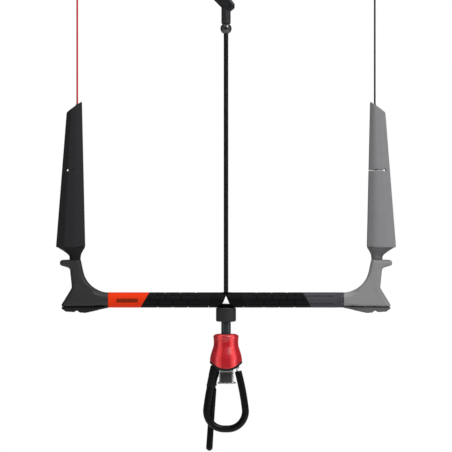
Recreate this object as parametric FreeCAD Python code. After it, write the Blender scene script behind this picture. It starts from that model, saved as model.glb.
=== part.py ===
import FreeCAD, Part
import math
import os

# A kite control bar in millimetres. The bar slides and spins on a depower tube,
# a float leans on each end of it, and a quick release and a harness loop hang
# below. +X is to the right, the front faces -Y, and heights are measured from
# the bar's axis. save() then moves the origin up into the front-line eye.

# Driving dimensions
EYE_HEIGHT = 520.0        # front-line eye above the bar's axis
GRIP_RADIUS = 12.1
CORE_RADIUS = 9.5         # the metal tube inside the grips
CORE_WALL = 1.5
CORE_START = 17.0
CORE_END = 232.0
END_SCREW_X = 206.0
HUB_HALF = 22.0           # half the hub's width at its top
HUB_SCREW_X = 12.8
GRIP_SPLIT = 128.0        # where the inner grip meets the outer one, on the axis
GRIP_END = 186.0
SPLIT_LEAN = 7.0          # how far a slanted seam leans over the grip's height
END_DEPTH = 12.0          # half the bar end's depth, front to back
PAD_TOP = -11.0           # seam between the bar end and its foot pad

DEPOWER_RADIUS = 3.65
DEPOWER_BORE = 1.2
DEPOWER_BORE_X = 1.5
LINE_RADIUS = 1.1
DEPOWER_BOTTOM = -17.5
FERRULE_RADIUS = 4.6
FERRULE_LENGTH = 2.6
BALL_HEIGHT = 428.7
BALL_RADIUS = 8.9
STEM_RADIUS = 7.35
STEM_BOTTOM = 436.0
STEM_TOP = 462.0
TUBE_TOP = 452.0
CLEAT_DEPTH = 8.5         # half the cleat housing's depth
EYE_BORE = 6.0
EYE_LENGTH = 8.0
FRONT_ROPE = 2.5          # radius of the front line
ROPE_BOTTOM = 473.0
EYE_LOOP = 10.6           # radius of the line's loop round the eye
EYE_OUTER = 10.2

CUP_RADIUS = 15.8
CUP_TOP = -12.4
CUP_SEAM = -14.9
CUP_BOTTOM = -34.2
CUP_BORE = 13.2
CUP_FLOOR = -31.0
NECK_RADIUS = 7.6
SHAFT_RADIUS = 5.5
RUN_FIT = 0.08            # radial clearance of a shaft that turns or slides
GAP = 0.3                 # clearance between faces that move past each other

SLEEVE_TOP = -53.8
SLEEVE_WALL = 2.0
SLEEVE_PROFILE = [        # outer radius and height: a lip, a waist and a flared skirt
    (14.1, SLEEVE_TOP), (18.6, -57.0), (17.6, -66.4), (18.6, -72.8), (20.6, -79.0),
    (22.7, -85.4), (24.6, -91.7), (25.4, -98.0), (25.4, -112.0),
]
RIM_BAND = 2.2            # height of the dark band along the skirt's edge
SKIRT_SIDE = -100.0       # skirt's lower edge at the sides
SKIRT_FRONT = -111.0      # and where it dips in front and behind
FLANGE_TOP = -59.0
FLANGE_BOTTOM = -61.5
LEDGE_TOP = -88.0
LEDGE_BOTTOM = -90.5
SPRING_RADIUS = 10.2
SPRING_WIRE = 0.7

FRAME_TOP = -92.0
FRAME_BOTTOM = -133.0
FRAME_LEFT = -11.0
FRAME_RIGHT = 12.0
FRAME_DEPTH = 8.5
LATCH_X = 11.0
LATCH_Z = -106.6
LATCH_REACH = 10.0
RING_X = 17.5
RING_Z = -107.5

LOOP_RADIUS = 5.6
LOOP_LOW = -203.8         # centre line at the lowest point of the loop
LOOP_CORNER = 28.0        # radius of the loop's lower corners
LOOP_CORNER_X = 2.7
LOOP_SIDE = 420.0         # radius of its long, nearly straight sides
LOOP_SIDE_ANGLE = 6.7     # where corner and side meet, above the horizontal
LOOP_END_ANGLE = 15.2
LOOP_FIXED_ANGLE = 16.1
CUFF_TOP = -104.4
CUFF_RADIUS = 8.0
COLLAR_RADIUS = 7.3
FINGER_RADIUS = 5.3

FLOAT_BOTTOM = 83.0
FLOAT_TOP = 316.0
FLOAT_INNER = (222.4, 227.6)  # at the float's bottom and top
FLOAT_OUTER = (268.3, 250.0)
FLOAT_DEPTH = (16.0, 11.0)
EYELET = (250.0, 204.8)
EYELET_RADIUS = 2.0
SLIT = 1.0
BOOT_X = 238.4            # neck of the boot, where the float leans
BOOT_Z = 66.6
NECK_BALL = 9.0
LEADER_X = 235.0
LEADER_EXIT = 309.0
LEADER_TOP = 494.0
LEADER_RADIUS = 1.4
SHEATH_RADIUS = 2.2
KNOT_RADIUS = 3.2


def at(x, y, z):
    return FreeCAD.Vector(x, y, z)


RIGHT = at(1, 0, 0)
BACK = at(0, 1, 0)
UP = at(0, 0, 1)


def save(name, *solids):
    shape = solids[0] if len(solids) == 1 else Part.makeCompound(list(solids))
    shape = shape.copy()
    shape.translate(at(0, 0, -EYE_HEIGHT))
    shape.exportStep("parts/" + name + ".step")


def mirrored(shape):
    """The same piece on the left of the bar."""
    return shape.mirror(at(0, 0, 0), RIGHT)


def save_pair(name, shape):
    """A right-hand piece and its left-hand twin."""
    save(name + "_right", shape)
    save(name + "_left", mirrored(shape))


def upright(radius, low, high, x=0.0, y=0.0):
    return Part.makeCylinder(radius, high - low, at(x, y, low), UP)


def crosswise(radius, front, back, x, z):
    """A cylinder from front to back."""
    return Part.makeCylinder(radius, back - front, at(x, front, z), BACK)


def lengthwise(radius, start, end, y=0.0, z=0.0):
    """A cylinder along the bar."""
    return Part.makeCylinder(radius, end - start, at(start, y, z), RIGHT)


def block(x0, x1, y0, y1, z0, z1):
    return Part.makeBox(x1 - x0, y1 - y0, z1 - z0, at(x0, y0, z0))


def tube_between(start, end, radius):
    run = end - start
    return Part.makeCylinder(radius, run.Length, start, run)


def turned(outline, x=0.0, y=0.0):
    """A solid turned about the vertical through x, y from (radius, height) corners."""
    corners = [at(x + r, y, z) for r, z in outline]
    face = Part.Face(Part.makePolygon(corners + corners[:1]))
    return face.revolve(at(x, y, 0), UP, 360)


def rounded(corners, closed):
    """Straight runs joined by tangent arcs; each corner is (point, arc radius)."""
    count = len(corners)
    inner = range(count) if closed else range(1, count - 1)
    stops = {}
    for i in inner:
        point, radius = corners[i]
        into = (point - corners[i - 1][0]).normalize()
        out = (corners[(i + 1) % count][0] - point).normalize()
        half = into.getAngle(out) / 2
        reach = radius * math.tan(half)
        bisector = (out - into).normalize()
        middle = point + bisector * (radius / math.cos(half) - radius)
        stops[i] = (point - into * reach, middle, point + out * reach)
    edges = []
    for i in range(count if closed else count - 1):
        j = (i + 1) % count
        start = stops[i][2] if i in stops else corners[i][0]
        end = stops[j][0] if j in stops else corners[j][0]
        if start.distanceToPoint(end) > 0.001:
            edges.append(Part.LineSegment(start, end).toShape())
        if j in stops and corners[j][1] > 0:
            edges.append(Part.Arc(*stops[j]).toShape())
    return Part.Wire(edges)


def slab(outline, depth):
    """A plate, depth either side of the middle, from (x, height, corner radius)."""
    corners = [(at(x, -depth, z), radius) for x, z, radius in outline]
    return Part.Face(rounded(corners, True)).extrude(BACK * (2 * depth))


def softened(shape, radius, keep):
    """Round the edges that keep() picks."""
    return shape.makeFillet(radius, [e for e in shape.Edges if keep(e)])


def swept(path, radius):
    start = path.OrderedEdges[0]
    centre = start.valueAt(start.FirstParameter)
    heading = start.tangentAt(start.FirstParameter)
    if start.Orientation == "Reversed":
        centre = start.valueAt(start.LastParameter)
        heading = start.tangentAt(start.LastParameter) * -1
    section = Part.Wire(Part.makeCircle(radius, centre, heading))
    return path.makePipeShell([section], True, False)


def slanted_tube(top_start, bottom_start, top_end, bottom_end):
    """A stretch of grip whose two seams lean."""
    reach = GRIP_RADIUS + 1
    lean_start = (bottom_start - top_start) / (2 * GRIP_RADIUS)
    lean_end = (bottom_end - top_end) / (2 * GRIP_RADIUS)
    outline = [
        (top_start - lean_start, reach, 0),
        (top_end - lean_end, reach, 0),
        (bottom_end + lean_end, -reach, 0),
        (bottom_start + lean_start, -reach, 0),
    ]
    grip = lengthwise(GRIP_RADIUS, 0, GRIP_END + 10)
    grip = grip.cut(lengthwise(CORE_RADIUS, 0, GRIP_END + 10))
    return grip.common(slab(outline, reach))


# Centre line: depower tube, stopper ball, trim cleat and front-line eye

def depower_tube():
    bottom = DEPOWER_BOTTOM
    tube = upright(DEPOWER_RADIUS, bottom, TUBE_TOP)
    lines = []
    for bore_x in (-DEPOWER_BORE_X, DEPOWER_BORE_X):
        tube = tube.cut(upright(DEPOWER_BORE, bottom, TUBE_TOP, bore_x))
        lines.append(upright(LINE_RADIUS, bottom, TUBE_TOP, bore_x))
    save("depower_lines", *lines)
    save("depower_tube", tube)
    ferrule = upright(FERRULE_RADIUS, bottom - FERRULE_LENGTH, bottom)
    save("line_ferrule", ferrule.makeFillet(0.8, ferrule.Edges[2:3]))


def stopper_ball():
    ball = Part.makeSphere(BALL_RADIUS, at(0, 0, BALL_HEIGHT))
    ball = ball.cut(upright(DEPOWER_RADIUS, BALL_HEIGHT - 10, BALL_HEIGHT + 10))
    screw_radius = 1.6
    screw_front = -7.4
    socket_radius = 0.9
    ball = ball.cut(crosswise(screw_radius + 0.05, -BALL_RADIUS, 0, 0, BALL_HEIGHT))
    screw = crosswise(screw_radius, screw_front, -DEPOWER_RADIUS - 0.2, 0, BALL_HEIGHT)
    corners = []
    for i in range(7):
        turn = math.radians(60 * i)
        corners.append(at(socket_radius * math.cos(turn), screw_front, BALL_HEIGHT + socket_radius * math.sin(turn)))
    socket = Part.Face(Part.makePolygon(corners)).extrude(BACK * 2 * socket_radius)
    save("stopper_ball", ball)
    save("stopper_ball_screw", screw.cut(socket))


def trim_cleat():
    stem = upright(STEM_RADIUS, STEM_BOTTOM, STEM_TOP)
    stem = stem.makeChamfer(1.0, [e for e in stem.Edges if e.BoundBox.ZMax < STEM_BOTTOM + 1])
    stem = stem.cut(Part.makeSphere(BALL_RADIUS, at(0, 0, BALL_HEIGHT)))
    stem = stem.cut(upright(DEPOWER_RADIUS, STEM_BOTTOM, TUBE_TOP))
    housing = slab([
        (4.2, 453.3, 1.5),
        (13.7, 461.2, 2.0),
        (13.7, 467.0, 3.0),
        (8.6, 473.9, 6.0),
        (-13.5, 496.5, 4.0),
        (-26.5, 490.0, 4.0),
        (-28.5, 486.0, 3.0),
    ], CLEAT_DEPTH)
    housing = softened(housing, 3.0, lambda e: e.BoundBox.YLength < 0.01)
    groove = slab([(-22.0, 474.0, 0), (-3.0, 455.0, 0), (1.5, 459.5, 0), (-17.5, 478.5, 0)], 3.0)
    rope = upright(FRONT_ROPE, ROPE_BOTTOM, 505)
    tooth_count = 6
    tooth_pitch = 14.0 / tooth_count
    teeth = []
    for i in range(tooth_count):
        x = -18.2 + i * tooth_pitch
        z = 475.4 - i * tooth_pitch
        teeth.append(slab([(x, z, 0), (x + 1.7, z - 1.7, 0), (x + 1.0, z - 4.3, 0)], 2.6))
    jaw = slab([(-20.5, 475.5, 0), (-4.5, 459.5, 0), (-1.5, 462.5, 0), (-17.5, 478.5, 0)], 3.0)
    jaw = jaw.common(groove)
    for tooth in teeth:
        jaw = jaw.fuse(tooth.common(groove))
    jaw = jaw.removeSplitter()
    housing = housing.cut(groove).cut(stem)
    screws = [crosswise(1.8, -CLEAT_DEPTH - 0.8, -CLEAT_DEPTH + 5, x, 470.6 - x) for x in (6, -18)]
    for screw in screws:
        housing = housing.cut(screw)
    save("cleat_stem", stem)
    save("cleat_housing", housing.cut(rope))
    save("cleat_jaw", jaw.cut(stem))
    save("cleat_screws", *screws)
    rope_loop = Part.makeTorus(EYE_LOOP, FRONT_ROPE, at(0, 0, EYE_HEIGHT), BACK)
    rope = upright(FRONT_ROPE, ROPE_BOTTOM, EYE_HEIGHT - EYE_LOOP).fuse(rope_loop)
    thimble = crosswise(EYE_OUTER, -EYE_LENGTH / 2, EYE_LENGTH / 2, 0, EYE_HEIGHT)
    thimble = thimble.cut(crosswise(EYE_BORE, -EYE_LENGTH / 2, EYE_LENGTH / 2, 0, EYE_HEIGHT))
    save("front_line", rope)
    save("front_line_thimble", thimble.cut(rope_loop))


# Swivel between the centre line and the release

def swivel():
    cup = turned([
        (CUP_BORE, CUP_SEAM), (CUP_RADIUS, CUP_SEAM), (CUP_RADIUS, CUP_BOTTOM),
        (NECK_RADIUS + RUN_FIT, CUP_BOTTOM), (NECK_RADIUS + RUN_FIT, CUP_FLOOR),
        (CUP_BORE, CUP_FLOOR),
    ])
    outer = [e for e in cup.Edges
             if e.BoundBox.ZMax < CUP_BOTTOM + 0.1 and e.BoundBox.XMax > CUP_RADIUS - 0.1]
    save("swivel_cup", cup.makeFillet(2.6, outer))
    cap = turned([
        (DEPOWER_RADIUS, CUP_TOP), (CUP_RADIUS - 0.8, CUP_TOP), (CUP_RADIUS, CUP_TOP - 0.8),
        (CUP_RADIUS, CUP_SEAM), (CUP_BORE, CUP_SEAM), (CUP_BORE, CUP_SEAM - 2.6),
        (CUP_BORE - 2.2, CUP_SEAM - 2.6), (CUP_BORE - 2.2, CUP_SEAM), (DEPOWER_RADIUS, CUP_SEAM),
    ])
    save("swivel_cap", cap)
    ball_z = -28.2
    ball_radius = 1.5
    ball_circle = 10.5
    ball_count = 14
    track = Part.makeTorus(ball_circle, ball_radius + 0.02, at(0, 0, ball_z), UP)
    lower = turned([(7.95, CUP_FLOOR), (CUP_BORE, CUP_FLOOR), (CUP_BORE, -29.2), (7.95, -29.2)])
    upper = turned([(SHAFT_RADIUS, -27.2), (12.8, -27.2), (12.8, -25.4), (SHAFT_RADIUS, -25.4)])
    save("bearing_lower_race", lower.cut(track))
    save("bearing_upper_race", upper.cut(track))
    balls = []
    for i in range(ball_count):
        turn = math.radians(360 / ball_count * i)
        place = at(ball_circle * math.cos(turn), ball_circle * math.sin(turn), ball_z)
        balls.append(Part.makeSphere(ball_radius, place))
    save("bearing_balls", *balls)
    shaft = turned([
        (0, -22.6), (12.0, -22.6), (12.0, -25.4), (SHAFT_RADIUS, -25.4),
        (SHAFT_RADIUS, FLANGE_TOP), (12.6, FLANGE_TOP), (12.6, FLANGE_BOTTOM),
        (SHAFT_RADIUS, FLANGE_BOTTOM), (SHAFT_RADIUS, FRAME_TOP - 8), (0, FRAME_TOP - 8),
    ])
    save("swivel_shaft", shaft)
    save("neck_cover", turned([
        (SHAFT_RADIUS, -31.2), (NECK_RADIUS, -31.2), (NECK_RADIUS, FLANGE_TOP),
        (SHAFT_RADIUS, FLANGE_TOP),
    ]))


# Quick release: red sleeve, its spring, the steel frame and the latch

def sleeve_radius(z):
    """The sleeve's outer radius at a height."""
    for (r_high, z_high), (r_low, z_low) in zip(SLEEVE_PROFILE, SLEEVE_PROFILE[1:]):
        if z >= z_low:
            return r_high + (r_low - r_high) * (z_high - z) / (z_high - z_low)
    return SLEEVE_PROFILE[-1][0]


def release_sleeve():
    roof = -57.6
    cavity = [(NECK_RADIUS + RUN_FIT, roof), (13.0, roof), (sleeve_radius(FLANGE_BOTTOM) - SLEEVE_WALL, FLANGE_BOTTOM)]
    cavity += [(radius - SLEEVE_WALL, z) for radius, z in SLEEVE_PROFILE[2:]]
    body = turned([(NECK_RADIUS + RUN_FIT, SLEEVE_TOP)] + SLEEVE_PROFILE + cavity[::-1])
    ledge = turned([
        (9.0, LEDGE_TOP), (sleeve_radius(LEDGE_TOP) - 1, LEDGE_TOP),
        (sleeve_radius(LEDGE_BOTTOM) - 1, LEDGE_BOTTOM), (9.0, LEDGE_BOTTOM),
    ])
    body = body.fuse(ledge)
    # The skirt's lower edge: high at the sides, dipping in front and behind
    reach = 30
    ends = [at(side * reach, -reach, SKIRT_SIDE + 3.2) for side in (-1, 1)]
    below = [at(side * reach, -reach, -130) for side in (-1, 1)]
    sides = [
        Part.Arc(ends[0], at(0, -reach, SKIRT_FRONT), ends[1]).toShape(),
        Part.LineSegment(ends[1], below[1]).toShape(),
        Part.LineSegment(below[1], below[0]).toShape(),
        Part.LineSegment(below[0], ends[0]).toShape(),
    ]
    trim = Part.Face(Part.Wire(sides)).extrude(BACK * 2 * reach)
    band = trim.copy()
    band.translate(at(0, 0, RIM_BAND))
    whole = body.cut(trim)
    save("sleeve_rim", whole.common(band))
    save("release_sleeve", whole.cut(band))
    turns = 6
    length = FLANGE_BOTTOM - LEDGE_TOP - 2 * SPRING_WIRE
    helix = Part.makeHelix(length / turns, length, SPRING_RADIUS)
    helix.translate(at(0, 0, LEDGE_TOP + SPRING_WIRE))
    section = Part.Wire(Part.makeCircle(SPRING_WIRE, at(SPRING_RADIUS, 0, LEDGE_TOP + SPRING_WIRE), BACK))
    save("release_spring", Part.Wire(helix.Edges).makePipeShell([section], True, True))


def release_frame():
    depth = FRAME_DEPTH
    frame = block(FRAME_LEFT, FRAME_RIGHT, -depth, depth, FRAME_BOTTOM + 3, FRAME_TOP)
    frame = frame.makeFillet(1.5, [e for e in frame.Edges if e.BoundBox.ZLength > 20])
    foot = block(-13, 16, -depth - 1, depth + 1, FRAME_BOTTOM, FRAME_BOTTOM + 3)
    foot = foot.makeFillet(1.2, foot.Edges)
    tongue = block(-19.5, FRAME_LEFT + 1, -2, 2, -113, -99)
    tongue = tongue.makeFillet(1.5, [e for e in tongue.Edges
                                     if e.BoundBox.YLength > 3 and e.BoundBox.XMax < -19])
    frame = frame.fuse([foot, tongue]).removeSplitter()
    window = block(-9.0, 9.0, -depth - 1, depth + 1, -130.0, -113.8)
    slot = block(7.2, FRAME_RIGHT, -2.3, 2.3, -113, -99.5)
    slot = slot.fuse(block(9.8, FRAME_RIGHT, -2.3, 2.3, -116.5, -113))
    hinge_pin = crosswise(1.5, -6, 6, LATCH_X - 1.2, LATCH_Z)
    frame = frame.cut(window).cut(slot).cut(hinge_pin)
    frame = frame.cut(upright(SHAFT_RADIUS, FRAME_TOP - 8, FRAME_TOP + 1))
    anchor = crosswise(2.0, -5.0, 5.0, -15.8, -106.5)
    save("release_frame", frame.cut(anchor))
    core = window.copy()
    for z in (-117.1, -120.4, -123.7, -127.0):
        for side in (-1, 1):
            rib = block(-9, 9, -0.4, 0.4, z - 0.5, z + 0.5)
            rib.translate(at(0, side * (depth + 0.8), 0))
            core = core.cut(rib)
    save("release_core", core)
    save("latch_hinge_pin", hinge_pin)
    save("loop_anchor_pin", anchor)
    return anchor, tongue


def latch():
    eye_x = LATCH_X - 1.2
    pin = lengthwise(2.0, eye_x, LATCH_X + LATCH_REACH, 0, LATCH_Z)
    pin = pin.makeFillet(1.2, [e for e in pin.Edges if e.BoundBox.XMin > LATCH_X + LATCH_REACH - 1])
    eye = crosswise(2.5, -2.0, 2.0, eye_x, LATCH_Z)
    hole = crosswise(1.5 + 0.05, -2.0, 2.0, eye_x, LATCH_Z)
    save("latch_pin", pin.fuse(eye).removeSplitter().cut(hole))


# Harness loop, its anchor cuff and the safety finger behind it

def loop_path(side, end_angle):
    """Half of the loop's centre line, from its lowest point up one side."""
    corner = at(LOOP_CORNER_X, 0, LOOP_LOW + LOOP_CORNER)

    def on_corner(angle):
        turn = math.radians(angle)
        return corner + at(math.cos(turn), 0, math.sin(turn)) * LOOP_CORNER

    meet = math.radians(LOOP_SIDE_ANGLE)
    heading = at(math.cos(meet), 0, math.sin(meet))
    far = corner - heading * (LOOP_SIDE - LOOP_CORNER)

    def on_side(angle):
        turn = math.radians(angle)
        return far + at(math.cos(turn), 0, math.sin(turn)) * LOOP_SIDE

    half = (LOOP_SIDE_ANGLE + end_angle) / 2
    points = [
        at(0, 0, LOOP_LOW), on_corner(-90), on_corner((LOOP_SIDE_ANGLE - 90) / 2),
        on_side(LOOP_SIDE_ANGLE), on_side(half), on_side(end_angle),
    ]
    for point in points:
        point.x = point.x * side
    path = Part.Wire([
        Part.LineSegment(points[0], points[1]).toShape(),
        Part.Arc(points[1], points[2], points[3]).toShape(),
        Part.Arc(points[3], points[4], points[5]).toShape(),
    ])
    return path, points[5]


def harness_loop(anchor, tongue):
    path, top = loop_path(1, LOOP_END_ANGLE)
    free_leg = swept(path, LOOP_RADIUS)
    shank = tube_between(top - at(0.4, 0, -0.2), at(RING_X, 0, RING_Z - 3.4), 1.7)
    ring = Part.makeTorus(4.8, 1.6, at(RING_X, 0, RING_Z), RIGHT)
    ring = ring.fuse(shank)
    save("loop_free_leg", free_leg.cut(ring))
    save("loop_end_ring", ring)
    path = loop_path(-1, LOOP_FIXED_ANGLE)[0]
    fixed_leg = swept(path, LOOP_RADIUS)
    save("loop_fixed_leg", fixed_leg.cut(tongue).cut(anchor))
    cuff_top = at(-15.7, 0, -102.0)
    cuff_end = at(-21.6, 0, -127.0)
    cuff = tube_between(cuff_top, cuff_end, CUFF_RADIUS)
    cuff = cuff.cut(block(-40, 20, -12, 12, CUFF_TOP, -90))
    cuff = cuff.cut(fixed_leg).cut(tongue).cut(anchor)
    cuff = cuff.cut(block(FRAME_LEFT - 0.05, 20, -12, 12, -140, -90))
    cuff = cuff.cut(block(-13.05, 20, -12, 12, FRAME_BOTTOM, FRAME_BOTTOM + 3.05))
    save("loop_cuff", cuff)


def safety_finger():
    hinge = at(-19.7, 13.4, -133.0)
    lug_left = hinge.x - 4.9
    lug_right = hinge.x + 4.9
    pin_radius = 1.5
    collar = tube_between(at(-23.9, 0, -137.6), at(-21.9, 0, -128.6), COLLAR_RADIUS)
    lug = block(lug_left, lug_right, 5.0, hinge.y, hinge.z - 3, hinge.z + 3)
    lug = lug.fuse(lengthwise(3.0, lug_left, lug_right, hinge.y, hinge.z))
    slot = block(hinge.x - 2.6, hinge.x + 2.6, 8.6, 20, -140, -124)
    pin = lengthwise(pin_radius, lug_left, lug_right, hinge.y, hinge.z)
    leg = swept(loop_path(-1, LOOP_FIXED_ANGLE)[0], LOOP_RADIUS)
    collar = collar.fuse(lug.cut(slot)).cut(pin).cut(leg).removeSplitter()
    save("finger_collar", collar)
    save("finger_pin", pin)
    tip = at(-26.4, 11.6, -234.4)
    start = at(-20.4, 12.9, -143.0)
    finger = tube_between(start, tip, FINGER_RADIUS)
    finger = finger.fuse([Part.makeSphere(FINGER_RADIUS, tip), Part.makeSphere(FINGER_RADIUS, start)])
    eye = lengthwise(2.9, hinge.x - 2.3, hinge.x + 2.3, hinge.y, hinge.z)
    web = block(hinge.x - 2.3, hinge.x + 2.3, hinge.y - 2.4, hinge.y + 2.4, start.z, hinge.z)
    finger = finger.fuse([eye, web]).removeSplitter()
    save("safety_finger", finger.cut(lengthwise(pin_radius + 0.05, -24, -14, hinge.y, hinge.z)))


# Bar: core tubes, hub, bush, grips, ends and foot pads

def hub():
    bore = 6.5
    bush = turned([
        (DEPOWER_RADIUS + RUN_FIT, GRIP_RADIUS), (8.5, GRIP_RADIUS), (8.5, 11.0), (bore, 11.0),
        (bore, -11.0), (8.5, -11.0), (8.5, -GRIP_RADIUS), (DEPOWER_RADIUS + RUN_FIT, -GRIP_RADIUS),
    ])
    save("guide_bush", bush)
    lean = 3.0
    outline = [
        (-HUB_HALF, 13, 0), (HUB_HALF, 13, 0), (HUB_HALF + 2 * lean, -13, 0), (-HUB_HALF - 2 * lean, -13, 0),
    ]
    body = lengthwise(GRIP_RADIUS, -40, 40).common(slab(outline, 13))
    body = body.cut(upright(bore + RUN_FIT, -13, 13))
    for low, high in ((10.8, 13), (-13, -10.8)):
        body = body.cut(upright(8.9, low, high))
    for side in (-1, 1):
        start = CORE_START if side > 0 else -40
        body = body.cut(lengthwise(CORE_RADIUS, start, start + 40 - CORE_START))
    screws = []
    for side in (-1, 1):
        x = side * HUB_SCREW_X
        screw = crosswise(1.5, -5, 7.5, x, 0).fuse(crosswise(2.8, 7.5, 10.2, x, 0))
        screws.append(screw)
        body = body.cut(screw).cut(crosswise(2.8, 10.2, 13, x, 0))
    mark = Part.Face(Part.makePolygon([at(-5.4, 0, -5.6), at(5.4, 0, -5.6), at(0, 0, 6.6), at(-5.4, 0, -5.6)]))
    mark = mark.extrude(BACK * -13)
    front = body.common(block(-40, 40, -13, 0, -13, 13))
    inlay = front.common(mark).cut(lengthwise(GRIP_RADIUS - 0.8, -40, 40))
    save("hub_front", front.cut(inlay))
    save("hub_back", body.common(block(-40, 40, 0, 13, -13, 13)))
    save("hub_mark", inlay)
    save("hub_screws", *screws)


def grips():
    core = lengthwise(CORE_RADIUS, CORE_START, CORE_END)
    core = core.cut(lengthwise(CORE_RADIUS - CORE_WALL, CORE_START, CORE_END))
    end_screw = crosswise(2.0, 7.0, 11.0, END_SCREW_X, 0)
    save_pair("bar_core", core.cut(end_screw))
    save_pair("grip_inner", slanted_tube(
        HUB_HALF + 0.25, HUB_HALF + 5.8, GRIP_SPLIT - SPLIT_LEAN, GRIP_SPLIT + SPLIT_LEAN))
    save_pair("grip_outer", slanted_tube(
        GRIP_SPLIT - SPLIT_LEAN, GRIP_SPLIT + SPLIT_LEAN, GRIP_END, GRIP_END))
    return end_screw


def bar_ends(end_screw):
    outline = [
        (229.6, 64.7, 1.2),
        (262.9, 63.2, 4.2),
        (261.8, 54.6, 1.8),
        (246.7, 50.2, 4.0),
        (243.5, 19.2, 5.0),
        (260.4, -8.2, 3.0),
        (258.9, PAD_TOP, 0),
        (GRIP_END, PAD_TOP, 0),
        (GRIP_END, GRIP_RADIUS, 0),
        (219.4, 16.8, 40.0),
    ]
    body = slab(outline, END_DEPTH)
    front_and_back = [
        e for e in body.Edges
        if e.BoundBox.YLength < 0.01 and e.BoundBox.XMax > GRIP_END + 1 and e.BoundBox.ZMax > PAD_TOP + 0.5
    ]
    body = body.makeFillet(4.0, front_and_back)
    seat = Part.makeSphere(NECK_BALL + GAP, at(BOOT_X, 0, BOOT_Z))
    body = body.cut(seat)
    body = body.cut(lengthwise(CORE_RADIUS, GRIP_END, CORE_END))
    body = body.cut(upright(1.6, 46, BOOT_Z, BOOT_X))
    anchor = crosswise(2.0, -9, 9, BOOT_X - 3.0, 46.5)
    body = body.cut(anchor).cut(end_screw).cut(crosswise(3.2, 11.0, 13, END_SCREW_X, 0))
    save_pair("bar_end", body)
    pad = slab([
        (258.9, PAD_TOP, 0),
        (260.0, -13.2, 1.5),
        (253.0, -18.4, 3.0),
        (240.0, -19.2, 2.0),
        (235.0, -16.6, 2.0),
        (231.0, -19.6, 2.0),
        (222.0, -20.4, 6.0),
        (199.0, -15.2, 20.0),
        (GRIP_END, -12.4, 0),
        (GRIP_END, PAD_TOP, 0),
    ], END_DEPTH - 1.0)
    save_pair("foot_pad", pad)
    save("leader_anchors", anchor, mirrored(anchor))
    save("end_screws", end_screw, mirrored(end_screw))


# Floats: a foam body, a rubber boot, a sheath and the leader that leaves its top

def float_section(z):
    """Eight-sided section of the float; its edges close in towards the top."""
    rise = (z - FLOAT_BOTTOM) / (FLOAT_TOP - FLOAT_BOTTOM)
    inner = FLOAT_INNER[0] + (FLOAT_INNER[1] - FLOAT_INNER[0]) * rise
    outer = FLOAT_OUTER[0] + (FLOAT_OUTER[1] - FLOAT_OUTER[0]) * rise
    depth = FLOAT_DEPTH[0] + (FLOAT_DEPTH[1] - FLOAT_DEPTH[0]) * rise
    flank = 0.30 * (outer - inner)
    edge = 0.42 * depth
    front = [(inner, -edge), (inner + flank, -depth), (outer - flank, -depth), (outer, -edge)]
    back = [(x, -y) for x, y in reversed(front)]
    corners = [at(x, y, z) for x, y in front + back]
    return Part.makePolygon(corners + corners[:1])


def floats():
    body = Part.makeLoft([float_section(FLOAT_BOTTOM), float_section(FLOAT_TOP)], True, True)
    above = slab([(220, 319.0, 0), (258, 291.3, 0), (290, 340, 0), (220, 340, 0)], 30)
    exit_point = at(LEADER_X, 0, LEADER_EXIT)
    sheath = tube_between(at(BOOT_X, 0, BOOT_Z), exit_point, SHEATH_RADIUS)
    eyelet_x, eyelet_z = EYELET
    eyelet = crosswise(EYELET_RADIUS, -20, 20, eyelet_x, eyelet_z)
    slit = block(215, eyelet_x, -20, 20, eyelet_z - SLIT / 2, eyelet_z + SLIT / 2)
    body = body.cut(above).cut(eyelet).cut(slit)
    save_pair("float", body.cut(sheath))

    def oval(z, x0, x1, depth):
        wide, deep = (x1 - x0) / 2, depth
        middle = at((x0 + x1) / 2, 0, z)
        if wide > deep:
            curve = Part.Ellipse(middle + at(wide, 0, 0), middle + at(0, deep, 0), middle)
        else:
            curve = Part.Circle(middle, UP, wide)
        return Part.Wire(curve.toShape())

    flare = Part.makeLoft([
        oval(69.4, BOOT_X - NECK_BALL, BOOT_X + NECK_BALL, NECK_BALL),
        oval(75.8, 226.9, 254.7, 11.6),
        oval(FLOAT_BOTTOM, 222.9, 265.6, 15.4),
    ], True, True)
    neck = upright(NECK_BALL, BOOT_Z, 69.4, BOOT_X)
    ball = Part.makeSphere(NECK_BALL, at(BOOT_X, 0, BOOT_Z))
    ball = ball.cut(block(220, 260, -20, 20, BOOT_Z, BOOT_Z + 20))
    boot = flare.fuse([neck, ball]).removeSplitter()
    save_pair("float_boot", boot.cut(sheath))
    save_pair("leader_sheath", sheath)
    leader_end = at(LEADER_X, 0, LEADER_TOP)
    leader = tube_between(exit_point, leader_end, LEADER_RADIUS)
    save_pair("leader", leader.cut(sheath))
    knot = Part.makeSphere(KNOT_RADIUS, leader_end + at(0, 0, KNOT_RADIUS - 0.2))
    knot = knot.cut(block(200, 260, -10, 10, LEADER_TOP - 5, LEADER_TOP))
    save_pair("leader_knot", knot)


os.makedirs("parts", exist_ok=True)
depower_tube()
stopper_ball()
trim_cleat()
swivel()
release_sleeve()
anchor_pin, frame_tongue = release_frame()
latch()
harness_loop(anchor_pin, frame_tongue)
safety_finger()
hub()
bar_ends(grips())
floats()
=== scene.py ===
import math

import bmesh
import bpy
from mathutils import Matrix, Vector


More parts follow.
